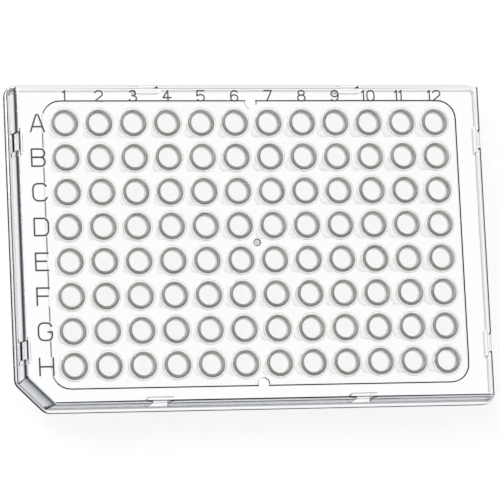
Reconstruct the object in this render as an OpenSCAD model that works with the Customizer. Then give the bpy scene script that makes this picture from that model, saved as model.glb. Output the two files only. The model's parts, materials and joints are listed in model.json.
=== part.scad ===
// Shallow 96-well plate, moulded in two shots: a clear skirted frame, and a
// natural sheet of thin-walled wells that sits flush in a window of its deck.
// Columns run along X, row A is on the +Y side, and the wells open upwards.

/* [Footprint] */
// Length over the foot flange
plate_length = 127.76; // [127.2:0.02:128.2]
// Width over the foot flange
plate_width = 85.48; // [85:0.02:86]
// Corner radius of the foot flange
flange_corner_r = 3.18; // [1.5:0.01:5]
// Leg of the cut corner, at the foot flange
flange_cut = 7.7; // [5:0.1:9]

/* [Heights] */
// Height from the tips of the wells to their rims
plate_height = 16; // [15.4:0.1:18]
// Drop from the rims to the underside of the foot flange
skirt_drop = 8.2; // [7:0.1:9.5]
// Thickness of the foot flange
flange_t = 1.2; // [0.8:0.1:1.6]
// Height of a rim above the deck
rim_rise = 0.7; // [0.5:0.05:1]

/* [Frame] */
// Inset of the deck's side face from the flange, along X
deck_inset_x = 1.82; // [1.5:0.01:2.2]
// Inset of the deck's side face from the flange, along Y
deck_inset_y = 1.44; // [1.2:0.01:1.8]
// Inset of the skirt's foot from the flange, along X
foot_inset_x = 0.88; // [0.6:0.01:1.2]
// Inset of the skirt's foot from the flange, along Y
foot_inset_y = 1.07; // [0.6:0.01:1.2]
// Leg of the cut corner, at the top of the skirt
deck_cut = 7.2; // [5:0.1:9]
// Leg of the cut corner, at the foot of the skirt
foot_cut = 6.7; // [5:0.1:9]
// Radius of the rounded edge round the deck
deck_edge_r = 0.7; // [0.3:0.05:0.9]
// Thickness of the deck
deck_t = 1.5; // [1.2:0.05:2]
// Thickness of the skirt
skirt_t = 1; // [0.8:0.05:1.2]

/* [Window] */
// Length of the window that holds the sheet
window_length = 111; // [108:0.1:112]
// Width of the window that holds the sheet
window_width = 74.9; // [72:0.1:76]
// Corner radius of the window
window_corner_r = 5; // [3:0.1:7]
// Depth of the window, and thickness of the sheet in it
sheet_t = 0.6; // [0.4:0.05:0.9]
// Width of the witness groove round the sheet
groove_w = 0.28; // [0.1:0.01:0.4]
// Depth of the witness groove round the sheet
groove_d = 0.25; // [0.1:0.01:0.4]
// Diameter of the vent marks at mid-length, on the window's long edges
vent_mark_d = 3.2; // [2:0.1:4]
// Diameter of the gate mark at the middle of the sheet
gate_mark_d = 2; // [1:0.1:3]

/* [Wells] */
// Number of columns
columns = 12; // [4:1:12]
// Number of rows
rows = 8; // [4:1:8]
// Distance between wells
pitch = 9; // [8.8:0.05:9]
// Inner radius just below the rim
bore_r = 2.7; // [2.6:0.01:2.8]
// Outer radius of the raised rim
rim_r = 3.42; // [3.3:0.01:3.5]
// Radius of the low collar round a rim
collar_r = 4.05; // [3.8:0.01:4.2]
// Radius of the neck that passes through the deck
neck_r = 3.25; // [3.1:0.01:3.4]
// Outer radius of the rounded tip
tip_r = 1.6; // [1.3:0.05:1.8]
// Wall thickness at the tip
tip_wall = 0.35; // [0.3:0.05:0.6]

/* [Gripper notches] */
// Distance of each notch from the middle of its side
notch_at = 27; // [18:9:27]
// Length of a notch along its side
notch_w = 4.8; // [3:0.1:6]
// Depth of a notch from the side face, the same all the way down
notch_d = 0.8; // [0.5:0.01:1]
// Height of a notch's floor above the flange
notch_floor = 1.2; // [0.8:0.1:3]

/* [Hidden] */

$fn = 48;
eps = 0.01;
// Steps in a quarter of a rounded corner or edge
arc_steps = 6;

half_l = plate_length / 2;
half_w = plate_width / 2;
deck_z = plate_height - rim_rise;
deck_under_z = deck_z - deck_t;
sheet_z = deck_z - sheet_t;
flange_z = plate_height - skirt_drop;
foot_z = flange_z + flange_t;

// Half length, half width and cut of the frame at the skirt's two ends
deck_half = [half_l - deck_inset_x, half_w - deck_inset_y, deck_cut];
foot_half = [half_l - foot_inset_x, half_w - foot_inset_y, foot_cut];
deck_corner_r = 0.6;
foot_corner_r = 1.5;
cavity_corner_r = 1;

well_x = [for (i = [0 : columns - 1]) (i - (columns - 1) / 2) * pitch];
well_y = [for (j = [0 : rows - 1]) (j - (rows - 1) / 2) * pitch];

// Well outline: height of the tapered part's top, and radii there
taper_z = plate_height - 4.5;
taper_outer_r = 3.15;
taper_inner_r = 2.65;
tip_land_r = 0.6;
tip_inner_r = tip_r - tip_wall;
collar_h = 0.12;
rim_edge_r = 0.3;
rim_mouth = [0.2, 0.3];

notch_z = foot_z + notch_floor;

// Depth of the round marks, and how far in from the window's edge the vent marks sit
mark_depth = 0.2;
vent_mark_inset = 0.65;

function unit(v) = v / norm(v);
function turn(v, a) = [v[0] * cos(a) - v[1] * sin(a), v[0] * sin(a) + v[1] * cos(a)];

// [half length, half width, cut] of the skirt's outside at height z
skirt_top_z = deck_z - deck_edge_r;
function skirt_at(z) = deck_half + (foot_half - deck_half) * (skirt_top_z - z) / (skirt_top_z - foot_z);

// The same outline moved in by d on every side, the cut corner too
function inset(half, d) = [half[0] - d, half[1] - d, half[2] - d * (2 - sqrt(2))];

// The arc of radius r that rounds the corner p of an anticlockwise outline
function corner_arc(before, p, after, r) =
    let (
        u = unit(p - before),
        v = unit(after - p),
        bend = acos(u * v),
        start = p - u * r * tan(bend / 2),
        centre = start + turn(u, 90) * r
    )
    [for (k = [0 : arc_steps]) centre + turn(start - centre, bend * k / arc_steps)];

// A plate outline: a rectangle of half size [x, y] with one cut corner, all rounded
function plate_outline(half, r) =
    let (
        x = half[0],
        y = half[1],
        cut = half[2],
        p = [[x, -y], [x, y], [-x, y], [-x, -y + cut], [-x + cut, -y]],
        n = len(p)
    )
    [for (i = [0 : n - 1]) each corner_arc(p[(i + n - 1) % n], p[i], p[(i + 1) % n], r)];

// A rounded rectangle for the window and the sheet
function window_outline(shrink) =
    let (
        x = window_length / 2 - shrink,
        y = window_width / 2 - shrink,
        p = [[x, -y], [x, y], [-x, y], [-x, -y]],
        n = len(p)
    )
    [for (i = [0 : n - 1]) each corner_arc(p[(i + n - 1) % n], p[i], p[(i + 1) % n], window_corner_r - shrink)];

module slice(z, half, r) {
    translate([0, 0, z])
        linear_extrude(eps)
            polygon(plate_outline(half, r));
}

// The frame's outside: rounded deck edge over a drafted skirt
module outer_block() {
    hull() {
        for (k = [0 : arc_steps]) {
            a = 90 * k / arc_steps;
            slice(
                deck_z - eps - deck_edge_r * (1 - sin(a)),
                inset(deck_half, deck_edge_r * (1 - cos(a))),
                deck_corner_r
            );
        }
        slice(foot_z, foot_half, foot_corner_r);
    }
    translate([0, 0, flange_z])
        linear_extrude(flange_t)
            polygon(plate_outline([half_l, half_w, flange_cut], flange_corner_r));
}

// The open space under the deck, drafted like the skirt
module cavity() {
    hull() {
        slice(deck_under_z - eps, inset(skirt_at(deck_under_z), skirt_t), cavity_corner_r);
        slice(flange_z - eps, inset(skirt_at(flange_z), skirt_t), cavity_corner_r);
    }
}

// A notch's back wall as [out, up] points, from the height top down to the height low.
// It leans with the skirt, and thick moves it further in.
function notch_back(axis, top, low, thick) =
    [
        for (z = top > skirt_top_z ? [top, skirt_top_z, low] : [top, low])
            [skirt_at(min(z, skirt_top_z))[axis] - deck_half[axis] - notch_d - thick, z]
    ];

// A profile of [out, up] points run along both notches of a side.
// Sides 0 and 2 are the plate's short ones, along X.
module along_notches(side, w, profile) {
    for (s = [-1, 1])
        rotate(side * 90)
            translate([deck_half[side % 2], s * notch_at + w / 2, 0])
                rotate([90, 0, 0])
                    linear_extrude(w)
                        polygon(profile);
}

// The wall that carries on behind and below a notch, inside the skirt
module notch_backs() {
    top = deck_under_z + eps;
    low = notch_z - skirt_t;
    for (side = [0 : 3])
        along_notches(
            side,
            notch_w + 2 * skirt_t,
            concat(notch_back(side % 2, top, low, skirt_t), [[0, low], [0, top]])
        );
}

// A notch for a robot's gripper or a lid's clip, open outwards and upwards
module notch_cuts() {
    top = deck_z + 1;
    for (side = [0 : 3])
        along_notches(
            side,
            notch_w,
            concat(notch_back(side % 2, top, notch_z, 0), [[2 * skirt_t, notch_z], [2 * skirt_t, top]])
        );
}

module at_wells() {
    for (x = well_x, y = well_y)
        translate([x, y, 0]) children();
}

// Shallow round marks: two on the window's edge, one at the middle of the sheet
module surface_marks() {
    for (s = [-1, 1])
        translate([0, s * (window_width / 2 - vent_mark_inset), deck_z - mark_depth])
            cylinder(d = vent_mark_d, h = 1);
    translate([0, 0, deck_z - mark_depth])
        cylinder(d = gate_mark_d, h = 1);
}

// The sheet, with a groove left round its top edge and a hole inside each well's wall
module sheet() {
    difference() {
        union() {
            translate([0, 0, sheet_z])
                linear_extrude(sheet_t - groove_d)
                    polygon(window_outline(0));
            translate([0, 0, sheet_z])
                linear_extrude(sheet_t)
                    polygon(window_outline(groove_w));
        }
        at_wells()
            translate([0, 0, sheet_z - 1])
                cylinder(r = (bore_r + neck_r) / 2, h = sheet_t + 2);
        surface_marks();
    }
}

// Half section of a well, from the middle of its tip round to the inside
function well_section() = concat(
    [[0, 0], [tip_land_r, 0]],
    [for (a = [-60 : 20 : 0]) [tip_r * cos(a), tip_r + tip_r * sin(a)]],
    [
        [taper_outer_r, taper_z],
        [neck_r - 0.05, deck_under_z],
        [neck_r, deck_under_z],
        [neck_r, sheet_z],
        [collar_r, sheet_z],
        [collar_r, deck_z + collar_h / 2],
        [collar_r - 0.15, deck_z + collar_h],
        [rim_r + 0.08, deck_z + collar_h],
        [rim_r, deck_z + 2 * collar_h]
    ],
    [for (a = [0 : 30 : 90]) [rim_r - rim_edge_r * (1 - cos(a)), plate_height - rim_edge_r * (1 - sin(a))]],
    [for (a = [0 : 22.5 : 90]) [bore_r + rim_mouth[0] * (1 - sin(a)), plate_height - rim_mouth[1] * (1 - cos(a))]],
    [[taper_inner_r, taper_z]],
    [for (a = [0 : -22.5 : -90]) [tip_inner_r * cos(a), tip_r + tip_inner_r * sin(a)]]
);

// Clear frame: deck with a window and 96 holes, drafted skirt, foot flange
module frame() {
    color([0.86, 0.90, 0.94, 0.45])
        difference() {
            union() {
                difference() {
                    outer_block();
                    cavity();
                }
                notch_backs();
            }
            notch_cuts();
            translate([0, 0, sheet_z])
                linear_extrude(sheet_t + 1)
                    polygon(window_outline(0));
            at_wells()
                translate([0, 0, deck_under_z - 1])
                    cylinder(r = neck_r, h = deck_t + 1);
            surface_marks();
        }
}

// Natural sheet of wells: the sheet fills the window, the wells hang through
module wells() {
    color([0.80, 0.79, 0.74, 0.8]) {
        sheet();
        at_wells()
            rotate_extrude()
                polygon(well_section());
    }
}

frame();
wells();
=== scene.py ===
"""A shallow 96-well plate: a clear skirted frame with a natural sheet of wells moulded into its deck.

Laid out as a Blender add-on and run as a script. Lengths are in metres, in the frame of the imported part:
columns run along X, row A is on the +Y side and the wells open upwards.
"""

import json
import math

import bpy
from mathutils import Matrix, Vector

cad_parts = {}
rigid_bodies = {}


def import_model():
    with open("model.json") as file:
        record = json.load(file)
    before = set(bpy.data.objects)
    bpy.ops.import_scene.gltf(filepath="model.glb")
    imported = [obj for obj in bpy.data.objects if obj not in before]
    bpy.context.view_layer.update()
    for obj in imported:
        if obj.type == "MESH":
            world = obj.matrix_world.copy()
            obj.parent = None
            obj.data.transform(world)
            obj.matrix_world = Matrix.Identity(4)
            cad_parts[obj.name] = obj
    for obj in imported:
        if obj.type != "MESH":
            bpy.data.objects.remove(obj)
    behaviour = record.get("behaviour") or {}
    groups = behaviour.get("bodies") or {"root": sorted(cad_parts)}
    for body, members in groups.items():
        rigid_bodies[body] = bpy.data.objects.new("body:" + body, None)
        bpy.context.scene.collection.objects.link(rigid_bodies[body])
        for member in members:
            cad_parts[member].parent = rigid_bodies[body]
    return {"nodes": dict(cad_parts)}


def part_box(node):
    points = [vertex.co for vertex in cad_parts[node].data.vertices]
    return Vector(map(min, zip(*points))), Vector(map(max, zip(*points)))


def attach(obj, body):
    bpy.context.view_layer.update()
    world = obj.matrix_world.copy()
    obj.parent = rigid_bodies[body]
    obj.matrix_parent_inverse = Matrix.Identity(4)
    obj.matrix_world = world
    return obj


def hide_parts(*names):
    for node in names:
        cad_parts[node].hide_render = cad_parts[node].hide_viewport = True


bl_info = {
    "name": "Well Plate",
    "version": (1, 0, 0),
    "blender": (4, 5, 0),
    "location": "View3D > Sidebar > Well Plate",
    "description": "Dresses a 96-well plate: moulded plastics, wells, lettering and studio",
    "category": "Object",
}

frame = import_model()
FRAME_LOW, FRAME_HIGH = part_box("frame")
WELLS_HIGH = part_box("wells")[1]
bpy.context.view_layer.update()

MM = 0.001
RIM_Z = WELLS_HIGH.z
DECK_Z = FRAME_HIGH.z
# What lies nearer than this to a level is on it
CLOSE = 0.001 * MM
# Faces nearer than this to a wall's place are the wall's
NEAR = 0.1 * MM

# The plastics of the sheet of wells and of the frame, by material slot. RIM, COLLAR, SHEET_GROOVE, NECK,
# WALL, FRAME_GROOVE and EDGE carry painted shade.
NATURAL, RIM, COLLAR, SHEET_GROOVE, NECK = range(5)
CLEAR, WALL, FRAME_GROOVE, EDGE = range(4)


# ---------------------------------------------------------------- settings


def length(name, description, mm):
    return bpy.props.FloatProperty(
        name=name, description=description, default=mm * MM, unit="LENGTH", precision=5
    )


def lengths(name, description, mm, **more):
    return bpy.props.FloatVectorProperty(
        name=name, description=description, default=[value * MM for value in mm], size=len(mm),
        unit="LENGTH", precision=5, **more
    )


def number(name, description, default):
    return bpy.props.FloatProperty(name=name, description=description, default=default)


def count(name, description, default):
    return bpy.props.IntProperty(name=name, description=description, default=default, min=1)


def colour(name, description, default):
    return bpy.props.StringProperty(name=name, description=description, default=default)


class FrameSizes(bpy.types.PropertyGroup):
    """Sizes of the clear frame as it was packed, and of the soft edges and painted shades added to it."""

    flange: length("Flange thickness", "Thickness of the foot flange", 1.2)
    flange_edge: length("Flange edge", "Rounding of the flange's upper edge", 0.3)
    flange_reach: length("Flange reach", "Width of the flange's outermost part", 0.45)
    flange_corner: length("Flange corner", "Corner radius of the flange", 3.18)
    flange_cut: length("Cut corner", "From the plate's middle out to the flange's cut corner", 69.95)
    foot_fillet: length("Foot fillet", "Rounding where the skirt stands on the flange", 0.3)
    foot_tone: length("Foot tone height", "Height above the flange that has the fillet's tones", 0.5)
    foot_in: lengths("Foot inset", "From the flange in to the skirt's foot, along X and Y", (0.88, 1.07))
    deck_in: lengths("Deck inset", "From the flange in to the deck's side, along X and Y", (1.82, 1.44))
    deck_cut: length("Cut deck corner", "From the plate's middle out to the deck's cut corner", 68)
    deck_edge: length("Deck edge", "Radius of the rounded edge round the deck", 0.7)
    deck_strip: length("Deck strip", "Width of the strip of deck that has its edge's tone", 0.12)
    wall_reach: length("Wall reach", "From the deck's side face in to the innermost outer wall", 0.86)
    inner_reach: length("Inner reach", "From the deck's side face in to the skirt's inner face", 1.8)
    notch_at: length("Notch place", "From the middle of a side to its notches", 27)
    notch_wide: length("Notch width", "Width of a notch", 4.8)
    notch_deep: length("Notch depth", "Depth of a notch", 0.8)
    notch_floor: length("Notch floor", "Height of a notch's floor above the flange", 1.2)
    notch_line: lengths("Notch line", "From the deck's side out to a notch's dark line, along X and Y",
                        (0.36, -0.2))


class WellSizes(bpy.types.PropertyGroup):
    """Sizes of the wells and of the sheet that carries them."""

    columns: count("Columns", "Wells along X", 12)
    rows: count("Rows", "Wells along Y", 8)
    pitch: length("Pitch", "Distance between wells", 9)
    sheet: length("Sheet thickness", "Thickness of the sheet between the wells", 0.6)
    deck: length("Deck thickness", "Thickness of the clear deck, sheet included", 1.5)
    corner: length("Corner radius", "Corner radius of the sheet", 5)
    bore: length("Bore radius", "Inner radius just below the rim", 2.7)
    rim: length("Rim radius", "Outer radius of the raised rim", 3.42)
    collar: length("Collar radius", "Radius of the low collar round a rim", 4.05)
    collar_height: length("Collar height", "Height of the collar above the sheet", 0.12)
    collar_edge: length("Collar edge", "Width of the slope at the collar's outer edge", 0.15)
    rim_foot: length("Rim foot", "Width of the slope where a rim meets its collar", 0.08)
    neck: length("Neck radius", "Radius of the neck in the deck", 3.25)
    taper_drop: length("Taper drop", "From the rim down to the tapered part", 4.5)
    taper_outer: length("Taper outer radius", "Outer radius at the top of the taper", 3.15)
    taper_inner: length("Taper inner radius", "Inner radius at the top of the taper", 2.65)
    tip: length("Tip radius", "Outer radius of the rounded tip", 1.6)
    tip_land: length("Tip land", "Radius of the flat under the tip", 0.6)
    tip_wall: length("Tip wall", "Wall thickness at the tip", 0.35)
    edge: length("Rim edge", "Rounding of the rim's outer edge", 0.3)
    mouth_in: length("Mouth rounding across", "Width of the rounding inside the rim", 0.2)
    mouth_down: length("Mouth rounding down", "Depth of the rounding inside the rim", 0.3)
    lip_drop: length("Lip drop", "From the rim down to where its thick lip ends", 0.75)
    lip_bore: length("Lip radius", "Inner radius where the lip ends", 2.692)
    line_drop: length("Bore line drop", "From the rim down to the faint line in the bore", 2.0)
    line_height: length("Bore line height", "Height of the faint line in the bore", 0.5)
    joint_gap: length("Joint gap", "Gap that keeps the two plastics' faces apart", 0.015)
    groove: length("Groove width", "Width of the groove round the sheet", 0.3)
    groove_depth: length("Groove depth", "Depth of the groove round the sheet", 0.25)
    gate: length("Gate mark", "Radius of the gate mark in the middle of the sheet", 1.0)
    vent: length("Vent mark", "Radius of the vent marks on the window's long edges", 1.6)
    vent_in: length("Vent inset", "From the window's edge in to a vent mark's middle", 0.65)
    mark_slope: length("Mark slope", "Width of the sloping wall round a mark", 0.2)
    mark_depth: length("Mark depth", "Depth of the gate and vent marks", 0.26)
    steps: count("Steps", "Faces round each well", 32)


class LetterSizes(bpy.types.PropertyGroup):
    """Sizes and places of the row letters and column numbers."""

    letter_left: length("Letter place", "Left edge of the row letters along X", -58.45)
    letter_width: length("Letter width", "Width of a row letter, between line centres", 3.55)
    letter_height: length("Letter height", "Height of a row letter, between line centres", 4.45)
    letter_line: length("Letter line", "Line width of the row letters", 0.44)
    letter_lift: length("Letter lift", "From a row's middle up to its letter's middle", 0.02)
    letter_clear: length("Letter clearance", "How far above a row letter the groove turns faint", 0.105)
    letters_end: length("Letters' end", "Where the fainter stretch of groove ends along X", -54)
    number_foot: length("Number place", "Foot of the column numbers along Y", 37.22)
    number_shift: length("Number shift", "From a column's middle to its number's middle", 0.20)
    number_width: length("Number width", "Width of a digit, between line centres", 2.0)
    pair_shift: length("Pair shift", "How far left of one digit's place two digits begin", 1.24)
    ones_step: length("Ones step", "From the first to the second digit of 11", 1.26)
    number_height: length("Number height", "Height of a digit, between line centres", 2.75)
    number_line: length("Number line", "Line width of the column numbers", 0.37)
    ink: length("Ink height", "Height of the printed lines above the deck", 0.02)


class PlateColours(bpy.types.PropertyGroup):
    """Colours, as sRGB hex values."""

    clear: colour("Clear plastic", "Polycarbonate of the frame", "FFFFFF")
    clear_deep: colour("Clear plastic, thick", "Where the polycarbonate is thicker", "FBFCFE")
    natural: colour("Natural plastic", "Polypropylene of the wells", "FFFFFF")
    natural_deep: colour("Natural plastic, thick", "Where the polypropylene is thicker", "FBFCFC")
    # Painted shade: the rim tone is a grey painted over the natural plastic in place of the shade that a rim
    # seen on edge shows, and its deeper tone is darker painted shade in clouds
    rim: colour("Rim", "The wells' rims, which are seen on edge", "B5B4AB")
    rim_shade_deep: colour("Rim, deep", "The darker flow marks in the rims", "65645C")
    # Painted shade: the neck tones are greys painted in place of the shade that a steep neck shows, darker in
    # clouds
    neck: colour("Neck", "The wells' necks, under the sheet", "CCCAC3")
    neck_shade_deep: colour("Neck, deep", "The darker flow marks in the necks", "AAA79F")
    # Painted shade: the collar tone is a light grey painted in place of the little light that the collar
    # loses
    collar: colour("Collar", "The low collar round each rim", "CCCAC4")
    matt: colour("Matt plastic", "The vent marks and the sheet's edge", "E8E8E7")
    matt_deep: colour("Matt plastic, thick", "Where the matt plastic is thicker", "E6E6E5")
    # Painted shade: the groove tones are a dark line painted in place of the groove's shade, lighter in
    # clouds, fainter among and beside the row letters
    groove: colour("Groove", "The groove where the two plastics meet", "040506")
    groove_shade_lighter: colour("Groove, shallow", "Where the groove is shallower", "16181C")
    groove_left: colour("Groove, left", "Between the row letters, where the groove is fainter", "808086")
    groove_letter: colour("Groove, letters", "Beside a row letter, where it is fainter still", "DCDCDE")
    ink: colour("Ink", "Lettering", "1E1822")
    ink_thin: colour("Thin ink", "Lettering where its cover is thinner", "2E2634")
    floor: colour("Floor", "Studio floor", "F4F4F4")
    floor_deep: colour("Floor, deep", "The darker clouds in the studio floor", "EEEEEE")


class StudioSettings(bpy.types.PropertyGroup):
    """Camera, floor and light."""

    camera_place: lengths("Camera place", "Where the camera stands", (-246.41, -151.69, 990.65),
                          subtype="TRANSLATION")
    camera_turn: bpy.props.FloatVectorProperty(
        name="Camera turn", description="Tilt, swing and roll of the camera", subtype="EULER",
        default=(math.radians(9.129), math.radians(-13.651), math.radians(-2.762)),
    )
    lens: number("Lens", "Focal length on a 36 mm sensor", 283.06)
    floor_size: length("Floor size", "Side of the floor", 1600)
    floor_white: number("Floor white", "Share of the floor's own white, where the camera sees it", 0.85)
    world: number("World", "Strength of the even light", 0.62)
    horizon: number("Horizon", "How light the horizon is that gloss and clear walls show", 0.5)
    lamp: number("Lamp", "Power of the soft lamp, in watts", 20.0)
    lamp_size: length("Lamp size", "Side of the soft lamp", 900)
    lamp_place: lengths("Lamp place", "Where the soft lamp hangs", (-500, 600, 1100), subtype="TRANSLATION")


# ---------------------------------------------------------------- helpers


def linear(hex_colour):
    """An sRGB hex value as linear red, green, blue, alpha."""
    channels = [int(hex_colour[i : i + 2], 16) / 255 for i in (0, 2, 4)]
    return [c / 12.92 if c <= 0.04045 else ((c + 0.055) / 1.055) ** 2.4 for c in channels] + [1.0]


def add_node(tree, kind, settings=None, **links):
    """Adds a shader node; settings are its attributes or its sockets' values, links are sockets to join."""
    node = tree.nodes.new("ShaderNode" + kind)
    for name, value in (settings or {}).items():
        if name in node.inputs:
            node.inputs[name].default_value = value
        elif name.isdigit():
            node.inputs[int(name)].default_value = value
        else:
            setattr(node, name, value)
    for name, source in links.items():
        key = int(name[1:]) if name[0] == "_" else name.replace("_", " ")
        tree.links.new(source, node.inputs[key])
    return node


def mixed(tree, share, first, second, **settings):
    """A socket with two colours mixed by a share. Each of the three is a socket or a value."""
    given = {"0": share, "6": first, "7": second}
    links = {key: value for key, value in given.items() if isinstance(value, bpy.types.NodeSocket)}
    values = {key: value for key, value in given.items() if key not in links}
    node = add_node(tree, "Mix", {"data_type": "RGBA", **settings, **values},
                    **{"_" + key: value for key, value in links.items()})
    return node.outputs[2]


def maths(tree, operation, first, second):
    """A socket with the result of a sum. The first term is a socket and the second a socket or a value."""
    if isinstance(second, bpy.types.NodeSocket):
        return add_node(tree, "Math", {"operation": operation}, _0=first, _1=second).outputs[0]
    return add_node(tree, "Math", {"operation": operation, "1": second}, _0=first).outputs[0]


def between(tree, share, first, second):
    """A socket with the shader that lies between two by a share."""
    return add_node(tree, "MixShader", _0=share, _1=first.outputs[0], _2=second.outputs[0]).outputs[0]


def new_material(name):
    material = bpy.data.materials.new(name)
    material.use_nodes = True
    material.node_tree.nodes.clear()
    return material


def mode(name):
    bpy.ops.object.mode_set(mode=name)


def deselect():
    if bpy.context.mode != "OBJECT":
        mode("OBJECT")
    bpy.ops.object.select_all(action="DESELECT")


def face_outwards():
    bpy.ops.mesh.select_all(action="SELECT")
    bpy.ops.mesh.normals_make_consistent(inside=False)


def finish_piece(piece, name, slot, *materials):
    """Names a finished piece, gives it its materials and lets it ride on the plate."""
    piece.name = name
    piece.data.name = name
    for material in materials:
        piece.data.materials.append(material)
    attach(piece, "root")
    return piece


def beyond(point, high, corner):
    """How far a point lies outside an upright outline with its corners rounded; negative inside."""
    past = Vector((abs(point.x) - high.x, abs(point.y) - high.y))
    turned = past + Vector((corner, corner))
    return turned.length - corner if min(turned) > 0 else max(past)


def select_where(test, kind="VERT"):
    """In edit mode, selects the vertices or edges whose points pass the test, or the faces that pass it."""
    piece = bpy.context.object
    bpy.ops.mesh.select_mode(type=kind)
    bpy.ops.mesh.select_all(action="DESELECT")
    mode("OBJECT")
    mesh = piece.data
    if kind == "FACE":
        mesh.polygons.foreach_set("select", [bool(test(face)) for face in mesh.polygons])
    else:
        passed = [bool(test(point.co)) for point in mesh.vertices]
        if kind == "VERT":
            mesh.vertices.foreach_set("select", passed)
        else:
            mesh.edges.foreach_set("select", [all(passed[i] for i in edge.vertices) for edge in mesh.edges])
    mode("EDIT")


# ---------------------------------------------------------------- materials


def noise(tree, size, stretch=(1, 1, 1), detail=2.0):
    """Soft random clouds on Object coordinates, each about size across, stretched along an axis."""
    place = add_node(tree, "TexCoord")
    scaled = add_node(tree, "Mapping", {"Scale": [1 / (size * s) for s in stretch]},
                      Vector=place.outputs["Object"])
    return add_node(tree, "TexNoise", {"Scale": 1.0, "Detail": detail}, Vector=scaled.outputs[0])


def plastic(name, thin, deep, clearness, size, rough, ior, ripple):
    """A moulded plastic whose colour, polish and surface vary over about size. ripple is its height."""
    material = new_material(name)
    tree = material.node_tree
    clouds = noise(tree, size).outputs["Fac"]
    tone = mixed(tree, clouds, linear(thin), linear(deep))
    polish = add_node(tree, "MapRange", {"To Min": rough * 0.6, "To Max": rough * 1.4}, Value=clouds)
    waves = add_node(tree, "Bump", {"Strength": 1.0, "Distance": ripple}, Height=clouds)
    shader = add_node(tree, "BsdfPrincipled", {"IOR": ior, "Transmission Weight": clearness},
                      Base_Color=tone, Roughness=polish.outputs[0], Normal=waves.outputs[0])
    add_node(tree, "OutputMaterial", Surface=shader.outputs[0])
    return material


def dim(material, share):
    """Multiplies a material's base colour by the value that a socket gives."""
    tree = material.node_tree
    base = tree.nodes["Principled BSDF"].inputs["Base Color"]
    tree.links.new(mixed(tree, 1.0, base.links[0].from_socket, share, blend_type="MULTIPLY"), base)


def painted_edge_shade(material):
    """Gives a material the painted shade of the walls as its base colour."""
    tree = material.node_tree
    tint = add_node(tree, "Attribute", {"attribute_name": "painted_edge_shade"})
    tree.links.new(tint.outputs["Color"], tree.nodes["Principled BSDF"].inputs["Base Color"])


def clear_polycarbonate(name):
    """Polycarbonate from a polished mould: water clear, a little blue where it is thicker.

    The flow of the melt leaves ripples a few millimetres apart and far under a micrometre high.
    """
    c = bpy.context.scene.plate_colours
    return plastic(name, c.clear, c.clear_deep, 1.0, 4 * MM, 0.02, 1.585, 0.0005 * MM)


def polycarbonate_painted_wall_shade():
    """The same plastic where a wall is seen on edge, with painted shade: grey layers and dark lines painted
    in place of the dark studio that the wall refracts and reflects, in streaks along it.
    """
    material = clear_polycarbonate("clear_polycarbonate_wall_painted_shade")
    tree = material.node_tree
    painted_edge_shade(material)
    # The painted shade runs in streaks level along the wall, some 40 mm long and a third of a millimetre high
    streaks = noise(tree, 0.35 * MM, (120, 120, 1), 1.0)
    share = add_node(tree, "MapRange", {"From Min": 0.35, "From Max": 0.65, "To Min": 0.84},
                     Value=streaks.outputs["Fac"])
    dim(material, share.outputs[0])
    return material


def polycarbonate_painted_edge_lines():
    """The same plastic at its sharpest bends, which send all light aside: dark lines painted in place of that
    shade, without a gleam.
    """
    material = new_material("clear_polycarbonate_edge_painted_shade")
    tree = material.node_tree
    shader = add_node(tree, "BsdfPrincipled", {"Roughness": 0.4, "Specular IOR Level": 0.0})
    add_node(tree, "OutputMaterial", Surface=shader.outputs[0])
    painted_edge_shade(material)
    # A painted dark line is darker and lighter over a few millimetres of its length
    shades = noise(tree, 3 * MM)
    share = add_node(tree, "MapRange", {"To Min": 0.7, "To Max": 1.3}, Value=shades.outputs["Fac"])
    dim(material, share.outputs[0])
    return material


def natural_polypropylene():
    """Unfilled moulded polypropylene: thin walls nearly clear, with a faint milkiness in soft clouds."""
    c = bpy.context.scene.plate_colours
    return plastic("natural_polypropylene", c.natural, c.natural_deep,
                   0.97, 2.5 * MM, 0.06, 1.49, 0.001 * MM)


def polypropylene_rim():
    """The same plastic seen on edge in the rims, with painted shade: a hazy grey in place of the shade that a
    rim seen on edge shows, in darker clouds, and darker still where the rim curves over.
    """
    c = bpy.context.scene.plate_colours
    material = plastic("natural_polypropylene_rim_painted_shade", c.rim, c.rim_shade_deep,
                       0.45, 5 * MM, 0.25, 1.49, 0.001 * MM)
    tree = material.node_tree
    # Painted shade: darker where the rim's faces turn away from facing up
    place = add_node(tree, "TexCoord")
    facing = add_node(tree, "SeparateXYZ", _0=place.outputs["Normal"])
    flat = add_node(tree, "MapRange", {"From Min": 0.2, "To Min": 0.75}, Value=facing.outputs["Z"])
    dim(material, flat.outputs[0])
    return material


def polypropylene_neck():
    """The same plastic at a well's neck, under the sheet, with painted shade: milkier and warmer, in place of
    the shade that the steep wall shows.
    """
    c = bpy.context.scene.plate_colours
    return plastic("natural_polypropylene_neck_painted_shade", c.neck, c.neck_shade_deep,
                   0.8, 2 * MM, 0.15, 1.49, 0.001 * MM)


def polypropylene_collar():
    """The same plastic in the low collar round each rim, with a light painted shade, as only a little light
    is lost there.
    """
    c = bpy.context.scene.plate_colours
    return plastic("natural_polypropylene_collar_painted_shade", c.collar, c.natural,
                   0.75, 1.5 * MM, 0.2, 1.49, 0.001 * MM)


def polypropylene_matt():
    """The same plastic where the mould is left matt, in the vent marks and round the sheet's edge: frosted.

    It scatters light evenly, without a gleam, so those faces look paler than the polished ones.
    """
    c = bpy.context.scene.plate_colours
    material = plastic("natural_polypropylene_matt", c.matt, c.matt_deep, 0.0, 1 * MM, 0.8, 1.49, 0)
    material.node_tree.nodes["Principled BSDF"].inputs["Specular IOR Level"].default_value = 0.0
    return material


def printing_ink():
    """Pad-printed ink: near black with a plum cast, flat and slightly uneven in cover."""
    c = bpy.context.scene.plate_colours
    # Cover varies over about a third of a millimetre
    return plastic("pad_printing_ink", c.ink, c.ink_thin, 0.0, 0.35 * MM, 0.45, 1.5, 0.002 * MM)


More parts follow.
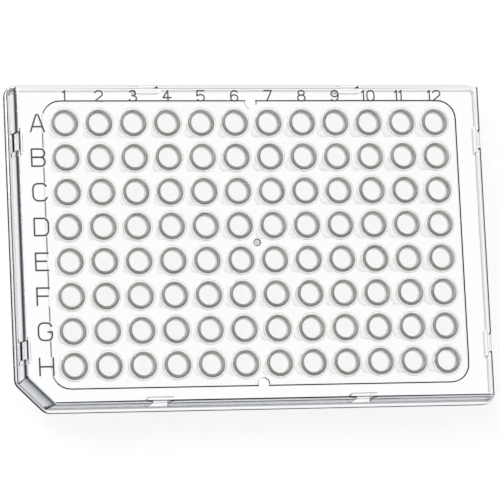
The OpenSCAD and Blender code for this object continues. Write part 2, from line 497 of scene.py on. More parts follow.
def groove_painted_shade(name):
    """The groove where the two plastics meet, with painted shade: a dark line painted in place of the
    groove's shade, darker and lighter in turns, faint at the left.
    """
    scene = bpy.context.scene
    w, t, c = scene.well_sizes, scene.letter_sizes, scene.plate_colours
    material = plastic(name, c.groove, c.groove_shade_lighter, 0.0, 3 * MM, 0.3, 1.49, 0.001 * MM)
    tree = material.node_tree
    shader = tree.nodes["Principled BSDF"]
    shader.inputs["Specular IOR Level"].default_value = 0.0
    place = add_node(tree, "TexCoord")
    axes = add_node(tree, "SeparateXYZ", _0=place.outputs["Object"])
    # The swing along Y is half a pitch at a row's middle, and nothing halfway between two rows
    half_row = w.pitch / 2
    half_letter = (t.letter_height + t.letter_line) / 2 + t.letter_clear
    swing = maths(tree, "PINGPONG", maths(tree, "ADD", axes.outputs["Y"], w.rows * half_row), half_row)
    beside = maths(tree, "GREATER_THAN", swing, half_row - half_letter)
    faint = mixed(tree, beside, linear(c.groove_left), linear(c.groove_letter))
    left = maths(tree, "LESS_THAN", axes.outputs["X"], t.letters_end)
    base = shader.inputs["Base Color"]
    tree.links.new(mixed(tree, left, base.links[0].from_socket, faint), base)
    return material


# ---------------------------------------------------------------- wells


def draw_chain(points):
    """In edit mode, draws a chain of edges through points (radius, height) in the XZ plane."""
    bpy.ops.mesh.primitive_plane_add(size=MM, location=(points[0][0], 0, points[0][1]))
    bpy.ops.mesh.merge(type="CENTER")
    for (r0, z0), (r1, z1) in zip(points, points[1:]):
        bpy.ops.mesh.extrude_vertices_move(TRANSFORM_OT_translate={"value": (r1 - r0, 0, z1 - z0)})


def arc(centre, across, up, start, end, steps):
    """Points (radius, height) on an ellipse's arc, from angle start to end in degrees."""
    angles = [math.radians(start + (end - start) * k / steps) for k in range(steps + 1)]
    return [(centre[0] + across * math.cos(a), centre[1] + up * math.sin(a)) for a in angles]


def well_outside(w):
    """Half section of a well's outside, from its neck down to the middle of the tip."""
    return [
        (w.neck - w.joint_gap, DECK_Z - w.sheet + w.joint_gap),
        (w.neck - w.joint_gap, DECK_Z - w.deck),
        (w.taper_outer, RIM_Z - w.taper_drop),
        *arc((0, w.tip), w.tip, w.tip, 0, -60, 3),
        (w.tip_land, 0),
        (0, 0),
    ]


def well_inside(w):
    """Half section of a well's inside and rim, from the tip up and over to the foot of the collar."""
    inner_tip = w.tip - w.tip_wall
    slope = (w.lip_bore - w.taper_inner) / (w.taper_drop - w.lip_drop)
    drops = (w.line_drop + w.line_height, w.line_drop, w.lip_drop)
    return [
        *arc((0, w.tip), inner_tip, inner_tip, -90, 0, 4),
        (w.taper_inner, RIM_Z - w.taper_drop),
        *((w.lip_bore - slope * (drop - w.lip_drop), RIM_Z - drop) for drop in drops),
        *arc((w.bore + w.mouth_in, RIM_Z - w.mouth_down), w.mouth_in, w.mouth_down, 180, 90, 4),
        *arc((w.rim - w.edge, RIM_Z - w.edge), w.edge, w.edge, 90, 0, 3),
        (w.rim, DECK_Z + 2 * w.collar_height),
        (w.rim + w.rim_foot, DECK_Z + w.collar_height),
        (w.collar - w.collar_edge, DECK_Z + w.collar_height),
        (w.collar, DECK_Z + w.collar_height / 2),
        (w.collar, DECK_Z),
    ]


class PLATE_OT_wells(bpy.types.Operator):
    """Model the natural sheet with its wells and put it in the window"""

    bl_idname = "plate.wells"
    bl_label = "Wells"

    def execute(self, context):
        w = context.scene.well_sizes
        sheet = self.make_sheet(w)
        piece = self.make_wells(w)
        sheet.select_set(True)
        bpy.ops.object.join()
        self.close_sheet(w)
        bpy.ops.object.shade_smooth_by_angle(angle=math.radians(35))
        self.pick_groove(piece, w)
        finish_piece(piece, "well_sheet", "natural_polypropylene")
        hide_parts("wells")
        return {"FINISHED"}

    def make_wells(self, w):
        """One well, spun from its half section and repeated in columns and rows."""
        deselect()
        bpy.ops.mesh.primitive_plane_add(size=MM)
        piece = bpy.context.object
        for material in (natural_polypropylene(), polypropylene_rim(), polypropylene_collar(),
                         groove_painted_shade("sheet_groove_painted_shade"), polypropylene_neck()):
            piece.data.materials.append(material)
        mode("EDIT")
        bpy.ops.mesh.select_mode(type="VERT")
        bpy.ops.mesh.delete(type="VERT")
        draw_chain(well_outside(w))
        draw_chain(well_inside(w))
        bpy.ops.mesh.select_all(action="SELECT")
        bpy.ops.mesh.spin(steps=w.steps, angle=math.tau, center=(0, 0, 0), axis=(0, 0, 1))
        bpy.ops.mesh.select_all(action="SELECT")
        bpy.ops.mesh.remove_doubles(threshold=0.001 * MM)
        bpy.ops.mesh.normals_make_consistent(inside=False)
        taper_z, line_z = RIM_Z - w.taper_drop, RIM_Z - w.line_drop
        neck_in = w.taper_inner + w.neck - w.bore
        rim_out = w.rim - 2 * w.rim_foot
        self.pick_slot(piece, RIM, lambda r, z: r < rim_out and z > RIM_Z - w.lip_drop)
        self.pick_slot(piece, NECK, lambda r, z: r > neck_in and taper_z < z < DECK_Z - w.deck)
        self.pick_slot(piece, COLLAR, lambda r, z: r > rim_out and z > DECK_Z)
        # Painted shade: the collar's outer slope takes the neck's grey, a faint dark ring round each collar
        self.pick_slot(piece, NECK, lambda r, z: r > w.collar - w.collar_edge and z > DECK_Z)
        # Painted shade: a faint grey band painted in the bore takes the rim's plastic
        self.pick_slot(piece, RIM, lambda r, z: r < w.bore and line_z - w.line_height < z < line_z)
        bpy.ops.transform.translate(value=(-(w.columns - 1) / 2 * w.pitch, -(w.rows - 1) / 2 * w.pitch, 0))
        mode("OBJECT")
        for count, offset in ((w.columns, (w.pitch, 0, 0)), (w.rows, (0, w.pitch, 0))):
            copies = piece.modifiers.new("copies", "ARRAY")
            copies.use_relative_offset = False
            copies.use_constant_offset = True
            copies.constant_offset_displace = offset
            copies.count = count
            bpy.ops.object.modifier_apply(modifier=copies.name)
        return piece

    def pick_slot(self, piece, slot, test):
        """Gives a plastic to the faces whose middle, as radius and height, passes the test."""
        select_where(lambda face: test(math.hypot(face.center.x, face.center.y), face.center.z), "FACE")
        piece.active_material_index = slot
        bpy.ops.object.material_slot_assign()
        bpy.ops.mesh.select_all(action="SELECT")

    def make_sheet(self, w):
        """The sheet as a solid slab with a step round its top edge, and its marks sunk into it."""
        deselect()
        under = DECK_Z - w.sheet + w.joint_gap
        bpy.ops.mesh.primitive_plane_add(size=2, location=(0, 0, under))
        slab = bpy.context.object
        slab.data.materials.append(polypropylene_matt())
        bpy.ops.object.transform_apply(location=True)
        mode("EDIT")
        bpy.ops.transform.resize(
            value=(WELLS_HIGH.x - w.joint_gap, WELLS_HIGH.y - w.joint_gap, 1), center_override=(0, 0, under)
        )
        bpy.ops.mesh.bevel(offset=w.corner, segments=6, affect="VERTICES")
        step = DECK_Z - w.groove_depth - under
        bpy.ops.mesh.extrude_region_move(TRANSFORM_OT_translate={"value": (0, 0, step)})
        bpy.ops.mesh.inset(thickness=w.groove - w.joint_gap)
        bpy.ops.mesh.extrude_region_move(TRANSFORM_OT_translate={"value": (0, 0, w.groove_depth)})
        face_outwards()
        mode("OBJECT")
        for x, y, radius, _ in marks(w):
            self.sink_mark(slab, w, x, y, radius)
        deselect()
        return slab

    def sink_mark(self, slab, w, x, y, radius):
        """Sinks one round mark, with a sloping wall, into the slab's top."""
        deselect()
        above = 0.5 * MM
        slope = w.mark_slope / w.mark_depth
        bpy.ops.mesh.primitive_cone_add(
            vertices=32, radius1=radius - w.mark_slope, radius2=radius + above * slope,
            depth=w.mark_depth + above, location=(x, y, DECK_Z + (above - w.mark_depth) / 2),
        )
        cutter = bpy.context.object
        cut = slab.modifiers.new("mark", "BOOLEAN")
        cut.operation = "DIFFERENCE"
        cut.object = cutter
        deselect()
        bpy.context.view_layer.objects.active = slab
        slab.select_set(True)
        bpy.ops.object.modifier_apply(modifier=cut.name)
        bpy.data.objects.remove(cutter)

    def close_sheet(self, w):
        """Opens the slab's top and underside, and closes them again round the wells."""
        under = DECK_Z - w.sheet + w.joint_gap
        mode("EDIT")
        for level in (DECK_Z, under):
            select_where(lambda f: abs(f.center.z - level) < CLOSE and abs(f.normal.z) > 0.99, "FACE")
            bpy.ops.mesh.delete(type="FACE")
            select_where(lambda p: abs(p.z - level) < CLOSE, "EDGE")
            bpy.ops.mesh.fill(use_beauty=True)
        face_outwards()
        mode("OBJECT")

    def pick_groove(self, piece, w):
        """Gives the groove's faces and the faces of the marks their plastic, with painted shade."""
        for face in piece.data.polygons:
            c = face.center
            if not DECK_Z - w.mark_depth - CLOSE < c.z < DECK_Z - CLOSE:
                continue
            near = [m for m in marks(w) if math.hypot(c.x - m[0], c.y - m[1]) < m[2] + CLOSE]
            sloping = abs(face.normal.z) < 0.95
            if near:
                x, y, _, dark = near[0]
                angle = math.degrees(math.atan2(c.y - y, c.x - x))
                # Painted shade: a gate mark's sloping wall takes the groove's dark line and its floor the
                # neck's grey; a vent mark's wall takes the dark line only at its listed angles
                if not dark:
                    face.material_index = SHEET_GROOVE if sloping else NECK
                elif sloping and any((angle - low) % 360 < high - low for low, high in dark):
                    face.material_index = SHEET_GROOVE
            # Painted shade: the groove round the sheet takes the dark line
            elif beyond(c, WELLS_HIGH, w.corner) > -w.groove - NEAR / 2:
                face.material_index = SHEET_GROOVE


def marks(w):
    """The gate mark and the two vent marks: x, y, radius, and where their walls get painted shade, as angles.
    """
    out = WELLS_HIGH.y - w.vent_in
    return (
        (0, 0, w.gate, ()),
        (0, out, w.vent, ((170, 260), (338, 383))),
        (0, -out, w.vent, ((-12, 88), (173, 211))),
    )


# ---------------------------------------------------------------- frame

# Painted shade and painted light: the tones that a wall of the frame shows when it is looked at from above,
# where light passes it once, painted into its colour in place of the dark and light studio that the wall
# refracts and reflects, so that one side is darker than another.
# A table runs from the foot of the plate upwards, by height in mm above the floor. "way" is where a side
# looks. "flange" is its wall, its rounded edge and its top; "foot" the upper and lower part of the fillet
# on it; "round" the deck's rounded edge, one tone a facet; "strip" the deck beside that. A notch has a
# "back" wall, a "floor" with its inner line and the rest, and "ends", facing back along the axis and
# forwards. "inner" is the skirt's inner face.
PAINTED_EDGE_SHADES = {
    "left": {
        "way": (-1, 0),
        "flange": ("0C0C10", "202028", "A4A2AA"),
        "foot": ("545058", "FFFFFF"),
        "skirt": (
            (9.3, "FFFFFF"), (12.3, "FFFFFF"), (13.2, "E4E3E3"), (13.5, "B8B6B8"), (13.9, "6A686C"),
            (14.2, "3A383E"), (14.6, "2A2830"),
        ),
        "round": ("2E2C34", "5A5860", "B4B3BE", "D0CFDA", "DCDCE4", "E8E9ED"),
        "back": (
            (10.2, "1E1A22"), (10.5, "1E1A22"), (10.7, "FFFFFF"), (13.7, "FFFFFF"), (13.9, "3A3640"),
            (14.5, "3A3640"), (14.8, "F0F0F4"), (15.3, "F0F0F4"),
        ),
        "inner": "F8F8FA",
        "floor": ("1E1A22", "F0F0F4"),
        "ends": ("30283A", "5A5560"),
    },
    "right": {
        "way": (1, 0),
        "flange": ("18181C", "303236", "C8C8CE"),
        "foot": ("B8BAC0", "C8CACF"),
        "skirt": (
            (9.3, "F2F3F6"), (12.3, "F2F3F6"), (13.2, "E8E8EC"), (13.9, "A0A2A8"), (14.6, "303236"),
        ),
        "round": ("060708", "060708", "060708", "101214", "8A8C92", "DCE0E6"),
        "back": (
            (10.2, "A0A0A8"), (10.9, "A0A0A8"), (11.2, "F4F4F6"), (14.8, "F4F4F6"), (15.0, "A8A6B0"),
            (15.3, "A8A6B0"),
        ),
        "inner": "ECEEF2",
        "floor": ("B0B0B8", "F4F4F6"),
        "ends": ("2A2630", "5A5660"),
    },
    "bottom": {
        "way": (0, -1),
        "strip": "30343A",
        "flange": ("08090C", "4A4E54", "F0F2F4"),
        "foot": ("B4B4B8", "C8CACE"),
        "skirt": (
            (9.3, "C4C7CD"), (10.5, "C8CBD1"), (12.3, "BEC1C7"), (13.2, "B0B3B8"), (13.9, "84888D"),
            (14.6, "50545A"),
        ),
        "round": ("3A3E46", "84888E", "E0E2E4", "E8EAEC", "9A9EA4", "06080A"),
        "back": (
            (10.2, "8A8A94"), (10.7, "8A8A94"), (11.0, "FFFFFF"), (13.7, "FFFFFF"), (13.9, "201E28"),
            (15.3, "201E28"),
        ),
        "inner": "F0F2F4",
        "floor": ("FFFFFF", "FFFFFF"),
        "ends": ("A5A5BE", "3C3A44"),
    },
    "top": {
        "way": (0, 1),
        "strip": "3C3E46",
        "flange": ("B0B0B6", "C4C4CA", "E4E4E8"),
        "foot": ("707074", "909094"),
        "skirt": ((9.3, "F4F4F6"), (14.6, "F4F4F6")),
        "round": ("F0F0F2", "F4F4F6", "F8F8F8", "FCFCFC", "FCFCFC", "FCFCFC"),
        "back": ((10.2, "E8E8EC"), (15.3, "F4F4F6")),
        "inner": "D2D2D6",
        "floor": ("F4F4F6", "F4F4F6"),
        "ends": ("2C2A3C", "B8B8C0"),
    },
    "cut": {
        "way": (-math.sqrt(0.5), -math.sqrt(0.5)),
        "flange": ("0C0A0E", "141216", "A8A4AC"),
        "foot": ("CCCACE", "E0E0E4"),
        "skirt": (
            (9.3, "E8ECF0"), (10.5, "F0F4F8"), (11.2, "D4D5DC"), (12.3, "D4D4DC"), (12.8, "A0A0A6"),
            (13.2, "C4C5CB"), (13.9, "888A92"), (14.6, "50545D"),
        ),
        "round": ("62666F", "7E828C", "A0A4AE", "B4B9C4", "D0D5DE", "ECF0F6"),
        "inner": "F4F4F6",
    },
}

# Painted shade: the dark line painted down each of the two bends beside the cut corner, which look halfway
# between two sides
BEND_PAINTED_SHADE = "1C1820"
BEND_TURN = 22.5
BEND_SPREAD = 10
# Walls whose painted shade is darker than this, as linear light, are painted dark lines. The others are
# clear, and their base colour is the painted shade squared, because a clear face passes the square root of
# its base colour.
DARKEST_WALL = 0.16
# Walls lighter than this stay as clear as the rest of the frame
LIGHTEST_WALL = 0.999


def way_of(side):
    """The direction that a side looks in."""
    return Vector((*PAINTED_EDGE_SHADES[side]["way"], 0))


def tone_at(tone, z):
    """The base colour of a hex value, or of a table between the two of its heights that z lies between."""
    if isinstance(tone, str):
        return linear(tone)
    z = min(max(z / MM, tone[0][0]), tone[-1][0])
    for (low, below), (high, above) in zip(tone, tone[1:]):
        if z <= high:
            share = (z - low) / (high - low)
            return [a + (b - a) * share for a, b in zip(linear(below), linear(above))]


class PLATE_OT_frame(bpy.types.Operator):
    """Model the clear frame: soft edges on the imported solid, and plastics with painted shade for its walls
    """

    bl_idname = "plate.frame"
    bl_label = "Frame"

    def execute(self, context):
        self.w, self.f = context.scene.well_sizes, context.scene.frame_sizes
        self.measure()
        deselect()
        node = frame["nodes"]["frame"]
        node.select_set(True)
        context.view_layer.objects.active = node
        bpy.ops.object.duplicate()
        piece = context.object
        bpy.ops.object.parent_clear(type="CLEAR_KEEP_TRANSFORM")
        for key in list(piece.keys()):
            del piece[key]
        piece.data.materials.clear()
        for material in (clear_polycarbonate("clear_polycarbonate"), polycarbonate_painted_wall_shade(),
                         groove_painted_shade("frame_groove_painted_shade"), polycarbonate_painted_edge_lines()):
            piece.data.materials.append(material)
        mode("EDIT")
        bpy.ops.mesh.select_all(action="SELECT")
        bpy.ops.mesh.remove_doubles(threshold=0.001 * MM)
        bpy.ops.mesh.customdata_custom_splitnormals_clear()
        bpy.ops.mesh.mark_sharp(clear=True)
        bpy.ops.mesh.dissolve_limited(angle_limit=math.radians(0.5))
        self.soften_flange()
        self.split_walls()
        mode("OBJECT")
        self.paint_walls(piece)
        bpy.ops.object.shade_smooth_by_angle(angle=math.radians(30))
        finish_piece(piece, "clear_frame", "clear_polycarbonate")
        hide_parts("frame")
        return {"FINISHED"}

    def measure(self):
        """Works out the levels and walls that the faces are picked by."""
        f = self.f
        self.foot_z = FRAME_LOW.z + f.flange
        self.round_z = DECK_Z - f.deck_edge
        self.notch_z = self.foot_z + f.notch_floor
        # From the middle of the plate out to the deck's side face, and from there out to the skirt's foot
        self.deck, self.lean = {"cut": f.deck_cut}, {"cut": 0}
        for axis, sides in enumerate((("left", "right"), ("bottom", "top"))):
            for side in sides:
                self.deck[side] = FRAME_HIGH[axis] - f.deck_in[axis]
                self.lean[side] = f.deck_in[axis] - f.foot_in[axis]
        self.strip_y = self.deck["top"] - f.deck_edge - f.deck_strip

    def skirt_at(self, side, z):
        """From the middle of the plate out to the skirt's face, at a height."""
        return self.deck[side] + self.lean[side] * (self.round_z - z) / (self.round_z - self.foot_z)

    def side_of(self, point, normal):
        """The side that a face looks out from, or None for a face that doesn't look outwards."""
        best, side = 0.1, None
        for name in PAINTED_EDGE_SHADES:
            way = way_of(name)
            if normal.dot(way) > best and point.dot(way) > self.deck[name] - self.f.wall_reach:
                best, side = normal.dot(way), name
        return side

    def in_groove(self, point, normal):
        """True for the window's side wall."""
        return abs(normal.z) < 0.1 and abs(beyond(point, WELLS_HIGH, self.w.corner)) < NEAR

    def on_deck(self, point, normal):
        return normal.z > 0.99 and point.z > DECK_Z - CLOSE

    def on_notch_floor(self, point, normal):
        reach = self.f.wall_reach
        outside = abs(point.x) > self.deck["right"] - reach or abs(point.y) > self.deck["top"] - reach
        return normal.z > 0.9 and abs(point.z - self.notch_z) < CLOSE and outside

    def notch_line_at(self, side):
        """From the middle of the plate out to where the dark line along a notch's floor ends."""
        return self.deck[side] + self.f.notch_line[side in ("bottom", "top")]

    def soften_flange(self):
        """Rounds the flange's upper edge and fills the corner where the skirt stands on it."""
        f = self.f

        def outer(p):
            cut = p.dot(way_of("cut")) - f.flange_cut
            out = max(beyond(p, FRAME_HIGH, f.flange_corner), cut)
            return out > -f.flange_reach and abs(p.z - self.foot_z) < CLOSE

        select_where(outer, "EDGE")
        bpy.ops.mesh.bevel(offset=f.flange_edge, segments=2, affect="EDGES")
        select_where(lambda p: abs(p.z - self.foot_z) < CLOSE and not outer(p), "EDGE")
        bpy.ops.mesh.bevel(offset=f.foot_fillet, segments=2, affect="EDGES")

    def split_walls(self):
        """Cuts the walls, the notches' floors and the deck where their painted shades change."""
        tables = [edge.get(part, ()) for edge in PAINTED_EDGE_SHADES.values() for part in ("skirt", "back")]
        heights = sorted({z for table in tables for z, _ in table if self.foot_z < z * MM < DECK_Z})
        for z in heights:
            self.split(self.side_of, (0, 0, 1), z * MM)
        for side in ("left", "right", "bottom", "top"):
            self.split(self.on_notch_floor, way_of(side), self.notch_line_at(side))
        for y in (1, -1):
            self.split(self.on_deck, (0, y, 0), self.strip_y)
        self.split(self.in_groove, (0, 0, 1), DECK_Z - self.w.groove_depth)

    def split(self, test, way, reach):
        """Cuts the faces that pass a test of their middle and normal, along a plane at reach along way."""
        select_where(lambda face: test(face.center, face.normal), "FACE")
        bpy.ops.mesh.bisect(plane_co=Vector(way) * reach, plane_no=way)

    def paint_walls(self, piece):
        """Gives each wall its plastic, and its painted shade as a colour attribute."""
        bpy.ops.geometry.color_attribute_add(
            name="painted_edge_shade", domain="CORNER", data_type="FLOAT_COLOR", color=(1, 1, 1, 1)
        )
        tints = piece.data.color_attributes["painted_edge_shade"].data
        points = piece.data.vertices
        for face in piece.data.polygons:
            tone = self.painted_shade_of(face.center, face.normal)
            if tone:
                middle = tone_at(tone, face.center.z)[:3]
                if min(middle) > LIGHTEST_WALL:
                    continue
                dark = max(middle) < DARKEST_WALL
                face.material_index = EDGE if dark else WALL
                for corner in face.loop_indices:
                    seen = tone_at(tone, points[piece.data.loops[corner].vertex_index].co.z)
                    tints[corner].color = seen if dark else [channel ** 2 for channel in seen]
            # Painted shade: the window's side wall takes the groove's dark line
            elif self.in_groove(face.center, face.normal) and face.center.z > DECK_Z - self.w.groove_depth:
                face.material_index = FRAME_GROOVE

    def painted_shade_of(self, c, n):
        """A face's painted shade, as a hex value or a table of heights, or None for a face that stays clear.
        """
        side = self.side_of(c, n)
        if side is None:
            # Painted shade: a dark strip on the deck beside its rounded edge, along the long sides
            if self.on_deck(c, n) and abs(c.y) > self.strip_y:
                return PAINTED_EDGE_SHADES["top" if c.y > 0 else "bottom"]["strip"]
            return self.inner_painted_shade(c, n) or self.notch_painted_shade(c, n)
        edge = PAINTED_EDGE_SHADES[side]
        if self.is_bend(c, n):
            return BEND_PAINTED_SHADE
        if c.z < self.foot_z:
            return edge["flange"][0 if n.z < 0.1 else 1 if n.z < 0.7 else 2]
        if self.is_back(c, side):
            return edge["back"]
        if c.z > self.round_z:
            steepness = math.degrees(math.asin(min(max(n.z, 0), 1)))
            return edge["round"][min(int(steepness / 15), 5)]
        if c.z < self.foot_z + self.f.foot_tone and n.z > 0.3:
            return edge["foot"][0 if n.z > 0.75 else 1]
        return edge["skirt"]

    def is_bend(self, c, n):
        """True for the two bends beside the cut corner."""
        if c.z < self.foot_z or max(c.x, c.y) > 0 or n.z > 0.9:
            return False
        flat = Vector((n.x, n.y, 0))
        turn = math.degrees(flat.angle(way_of("cut")))
        off = min(math.degrees(flat.angle(way_of(side))) for side in ("left", "bottom"))
        return abs(turn - BEND_TURN) < BEND_SPREAD and abs(off - BEND_TURN) < BEND_SPREAD

    def is_back(self, c, side):
        """True for a notch's back wall, which stands behind the skirt's face."""
        if side == "cut":
            return False
        out = c.dot(way_of(side))
        if c.z > self.round_z:
            return out < self.deck[side] - self.f.notch_deep + NEAR
        return out < self.skirt_at(side, c.z) - self.f.notch_deep / 2

    def inner_painted_shade(self, c, n):
        """The painted shade of the skirt's inner face, or None."""
        for side, edge in PAINTED_EDGE_SHADES.items():
            way = way_of(side)
            inside = c.dot(way) > self.deck[side] - self.f.inner_reach and c.z < DECK_Z - self.w.deck
            if n.dot(way) < -0.9 and inside:
                return edge["inner"]
        return None

    def notch_painted_shade(self, c, n):
        """The painted shade of a notch's floor or of one of its two end walls, or None."""
        f = self.f
        for side in ("left", "right", "bottom", "top"):
            edge, way = PAINTED_EDGE_SHADES[side], way_of(side)
            along = Vector((abs(way.y), abs(way.x), 0))
            off = abs(abs(c.dot(along)) - f.notch_at)
            if c.dot(way) < self.deck[side] - f.wall_reach or off > f.notch_wide / 2 + NEAR:
                continue
            if self.on_notch_floor(c, n):
                return edge["floor"][0 if c.dot(way) < self.notch_line_at(side) else 1]
            if abs(n.dot(along)) > 0.9 and c.z > self.notch_z:
                return edge["ends"][0 if n.dot(along) < 0 else 1]
        return None


# ---------------------------------------------------------------- lettering

# Each glyph is a list of strokes in a box one wide and one high. A stroke is a list of points;
# a bow is a point list on an ellipse: middle, half width, half height, from and to angle.


def bow(x, y, across, up, start, end, steps=8):
    return arc((x, y), across, up, start, end, steps)


LETTERS = {
    "A": [
        [(0, 0), *bow(0.5, 0.9, 0.11, 0.1, 160, 20, 5), (1, 0)],
        [(0.16, 0.29), (0.84, 0.29)],
    ],
    "B": [
        [(0, 0), (0, 1)],
        [(0, 1), *bow(0.67, 0.76, 0.29, 0.24, 90, -90), (0, 0.52)],
        [(0, 0.52), *bow(0.66, 0.26, 0.31, 0.26, 90, -90), (0, 0)],
    ],
    "C": [
        [
            *bow(0.68, 0.68, 0.36, 0.32, 35, 90, 4), *bow(0.37, 0.68, 0.37, 0.32, 90, 180),
            *bow(0.37, 0.33, 0.37, 0.33, 180, 270), *bow(0.68, 0.33, 0.36, 0.33, -90, -25, 4),
        ],
    ],
    "D": [
        [(0, 0), (0, 1)],
        [(0, 1), *bow(0.68, 0.68, 0.35, 0.32, 90, 0), *bow(0.68, 0.33, 0.35, 0.33, 0, -90), (0, 0)],
    ],
    "E": [[(0, 0), (0, 1)], [(0, 1), (0.92, 1)], [(0, 0.53), (0.78, 0.53)], [(0, 0), (0.92, 0)]],
    "F": [[(0, 0), (0, 1)], [(0, 1), (0.9, 1)], [(0, 0.53), (0.8, 0.53)]],
    "G": [
        [
            *bow(0.64, 0.68, 0.36, 0.32, 25, 90, 4), *bow(0.37, 0.68, 0.37, 0.32, 90, 180),
            *bow(0.37, 0.33, 0.37, 0.33, 180, 270), *bow(0.68, 0.27, 0.32, 0.27, -90, 0, 5), (1, 0.48),
        ],
        [(1, 0.48), (0.7, 0.48)],
    ],
    "H": [[(0, 0), (0, 1)], [(1, 0), (1, 1)], [(0, 0.5), (1, 0.5)]],
}
DIGITS = {
    "0": [[
        *bow(0.5, 0.64, 0.48, 0.36, 0, 180), *bow(0.5, 0.36, 0.48, 0.36, 180, 360),
        (0.98, 0.64),
    ]],
    "1": [[(0.55, 0), (0.55, 1)], [(0.55, 1), (0.3, 0.82)]],
    "2": [[*bow(0.5, 0.7, 0.5, 0.3, 160, -35), (0.02, 0.02)], [(0.02, 0.02), (1, 0)]],
    "3": [
        [*bow(0.48, 0.76, 0.42, 0.24, 155, -90), (0.42, 0.52)],
        [(0.42, 0.52), *bow(0.5, 0.26, 0.5, 0.26, 90, -155)],
    ],
    "4": [[(0.66, 1), (0, 0.33)], [(0, 0.33), (1.08, 0.33)], [(0.66, 1), (0.66, 0)]],
    "5": [
        [(0.06, 1), (0.96, 0.99)], [(0.06, 1), (0.02, 0.5)],
        [(0.02, 0.5), *bow(0.5, 0.31, 0.5, 0.31, 125, -150, 10)],
    ],
    "6": [
        [*bow(0.53, 0.6, 0.5, 0.4, 40, 180), (0.03, 0.31), *bow(0.5, 0.3, 0.47, 0.3, 180, 540, 14)],
    ],
    "7": [[(0, 1), (1, 1)], [(1, 1), (0.34, 0)]],
    "8": [
        bow(0.5, 0.78, 0.42, 0.22, 0, 360, 14), bow(0.5, 0.29, 0.5, 0.29, 0, 360, 14),
    ],
    "9": [
        [*bow(0.47, 0.4, 0.5, 0.4, -140, 0), (0.97, 0.69), *bow(0.5, 0.7, 0.47, 0.3, 0, 360, 14)],
    ],
}


def print_glyphs(name, placed, line, height, material):
    """Makes one piece of ink lines. placed is a list of (glyph, left, foot, width, height)."""
    deselect()
    bpy.ops.object.add(type="CURVE")
    lines = bpy.context.object.data
    lines.dimensions = "3D"
    lines.bevel_depth = line / 2
    lines.bevel_resolution = 2
    lines.use_fill_caps = True
    for glyph, left, foot, wide, tall in placed:
        for stroke in glyph:
            points = [Vector((left + x * wide, foot + y * tall, 0)) for x, y in stroke]
            first, last = (points[0] - points[1]).normalized(), (points[-1] - points[-2]).normalized()
            # Both ends are rounded: the line narrows over half its width
            turns = [math.radians(a) for a in (30, 60, 84)]
            head = [(points[0] + first * line / 2 * math.sin(t), math.cos(t)) for t in reversed(turns)]
            tail = [(points[-1] + last * line / 2 * math.sin(t), math.cos(t)) for t in turns]
            whole = head + [(p, 1.0) for p in points] + tail
            spline = lines.splines.new("POLY")
            spline.points.add(len(whole) - 1)
            for point, (place, thick) in zip(spline.points, whole):
                point.co = (*place, 1)
                point.radius = thick
    bpy.ops.object.convert(target="MESH")
    mode("EDIT")
    bpy.ops.mesh.select_all(action="SELECT")
    bpy.ops.transform.resize(value=(1, 1, height / (line / 2)), center_override=(0, 0, 0))
    bpy.ops.transform.translate(value=(0, 0, DECK_Z))
    bpy.ops.mesh.normals_make_consistent(inside=False)
    mode("OBJECT")
    bpy.ops.object.shade_smooth_by_angle(angle=math.radians(40))
    return finish_piece(bpy.context.object, name, "natural_polypropylene", material)


class PLATE_OT_letters(bpy.types.Operator):
    """Print the row letters and the column numbers on the deck"""

    bl_idname = "plate.letters"
    bl_label = "Lettering"

    def execute(self, context):
        w, t = context.scene.well_sizes, context.scene.letter_sizes
        ink = printing_ink()
        rows = [
            (LETTERS[chr(ord("A") + j)], t.letter_left,
             ((w.rows - 1) / 2 - j) * w.pitch - t.letter_height / 2 + t.letter_lift,
             t.letter_width, t.letter_height)
            for j in range(w.rows)
        ]
        print_glyphs("row_letters", rows, t.letter_line, t.ink, ink)
        columns = []
        for i in range(w.columns):
            middle = (i - (w.columns - 1) / 2) * w.pitch + t.number_shift
            left = middle - t.number_width / 2
            digits = str(i + 1)
            if len(digits) == 2:
                left -= t.pair_shift
            for digit in digits:
                columns.append((DIGITS[digit], left, t.number_foot, t.number_width, t.number_height))
                left += t.ones_step if digits == "11" else t.number_width
        print_glyphs("column_numbers", columns, t.number_line, t.ink, ink)
        return {"FINISHED"}


def through_or_off(tree, path):
    """A socket that is 1 for light seen through a clear wall or off a gloss, and 0 otherwise."""
    return maths(tree, "MAXIMUM", path.outputs["Is Glossy Ray"], path.outputs["Is Transmission Ray"])


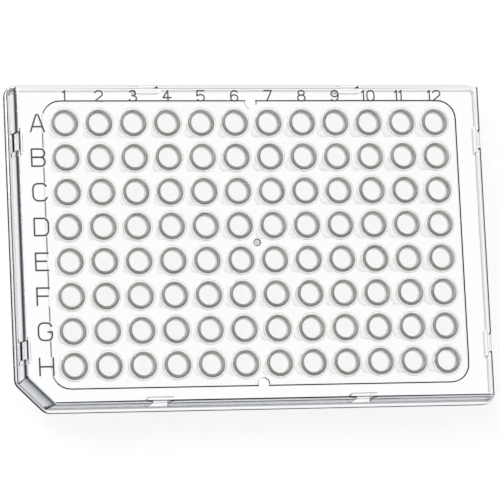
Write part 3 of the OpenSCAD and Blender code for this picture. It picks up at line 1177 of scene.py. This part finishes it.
class PLATE_OT_studio(bpy.types.Operator):
    """Set the floor, the light and the camera"""

    bl_idname = "plate.studio"
    bl_label = "Studio"

    def execute(self, context):
        studio, colours = context.scene.studio_settings, context.scene.plate_colours
        deselect()
        bpy.ops.mesh.primitive_plane_add(size=studio.floor_size, location=(0, 0, 0))
        floor = context.object
        floor.name = "floor"
        material = new_material("studio_floor")
        tree = material.node_tree
        # The camera sees most of the floor's own white and some of its shade; glass and gloss see the white
        path = add_node(tree, "LightPath")
        direct = maths(tree, "MULTIPLY", path.outputs["Is Camera Ray"], studio.floor_white)
        share = maths(tree, "MAXIMUM", direct, through_or_off(tree, path))
        clouds = noise(tree, 60 * MM)
        paper = mixed(tree, clouds.outputs["Fac"], linear(colours.floor), linear(colours.floor_deep))
        diffuse = add_node(tree, "BsdfDiffuse", Color=paper)
        white = add_node(tree, "Emission", {"Color": (1, 1, 1, 1), "Strength": 1.0})
        add_node(tree, "OutputMaterial", Surface=between(tree, share, diffuse, white))
        floor.data.materials.append(material)

        world = bpy.data.worlds.new("studio")
        context.scene.world = world
        world.use_nodes = True
        tree = world.node_tree
        tree.nodes.clear()
        path = add_node(tree, "LightPath")
        light = add_node(tree, "Background", {"Color": (1, 1, 1, 1), "Strength": studio.world})
        place = add_node(tree, "TexCoord")
        height = add_node(tree, "SeparateXYZ", _0=place.outputs["Generated"])
        ramp = add_node(tree, "ValToRGB", _0=height.outputs["Z"])
        stops = ramp.color_ramp.elements
        stops[0].position, stops[0].color = 0.0, (*[studio.horizon] * 3, 1)
        stops[1].position, stops[1].color = 0.55, (1, 1, 1, 1)
        seen = add_node(tree, "Background", _0=ramp.outputs[0])
        share = through_or_off(tree, path)
        add_node(tree, "OutputWorld", Surface=between(tree, share, light, seen))

        bpy.ops.object.light_add(type="AREA", location=studio.lamp_place)
        lamp = context.object
        lamp.rotation_euler = Vector(studio.lamp_place).to_track_quat("Z", "Y").to_euler()
        lamp.data.size = studio.lamp_size
        lamp.data.energy = studio.lamp

        bpy.ops.object.camera_add(location=studio.camera_place, rotation=studio.camera_turn)
        camera = context.object
        camera.data.lens = studio.lens
        camera.data.sensor_width = 36
        camera.data.clip_start = 0.01
        context.scene.camera = camera
        context.scene.view_settings.view_transform = "Standard"
        return {"FINISHED"}


class PLATE_PT_panel(bpy.types.Panel):
    """The plate's operators, in the order that they run"""

    bl_idname = "PLATE_PT_panel"
    bl_label = "Well Plate"
    bl_space_type = "VIEW_3D"
    bl_region_type = "UI"
    bl_category = "Well Plate"

    def draw(self, context):
        for operator in OPERATORS:
            self.layout.operator(operator.bl_idname)


GROUPS = {
    "frame_sizes": FrameSizes, "well_sizes": WellSizes, "letter_sizes": LetterSizes,
    "plate_colours": PlateColours, "studio_settings": StudioSettings,
}
OPERATORS = (PLATE_OT_frame, PLATE_OT_wells, PLATE_OT_letters, PLATE_OT_studio)


def register():
    for group in GROUPS.values():
        bpy.utils.register_class(group)
    for name, group in GROUPS.items():
        setattr(bpy.types.Scene, name, bpy.props.PointerProperty(type=group))
    for cls in (*OPERATORS, PLATE_PT_panel):
        bpy.utils.register_class(cls)


def unregister():
    for cls in (PLATE_PT_panel, *reversed(OPERATORS)):
        bpy.utils.unregister_class(cls)
    for name, group in GROUPS.items():
        delattr(bpy.types.Scene, name)
        bpy.utils.unregister_class(group)


def main():
    register()
    for operator in OPERATORS:
        group, name = operator.bl_idname.split(".")
        getattr(getattr(bpy.ops, group), name)()


if __name__ == "__main__":
    main()
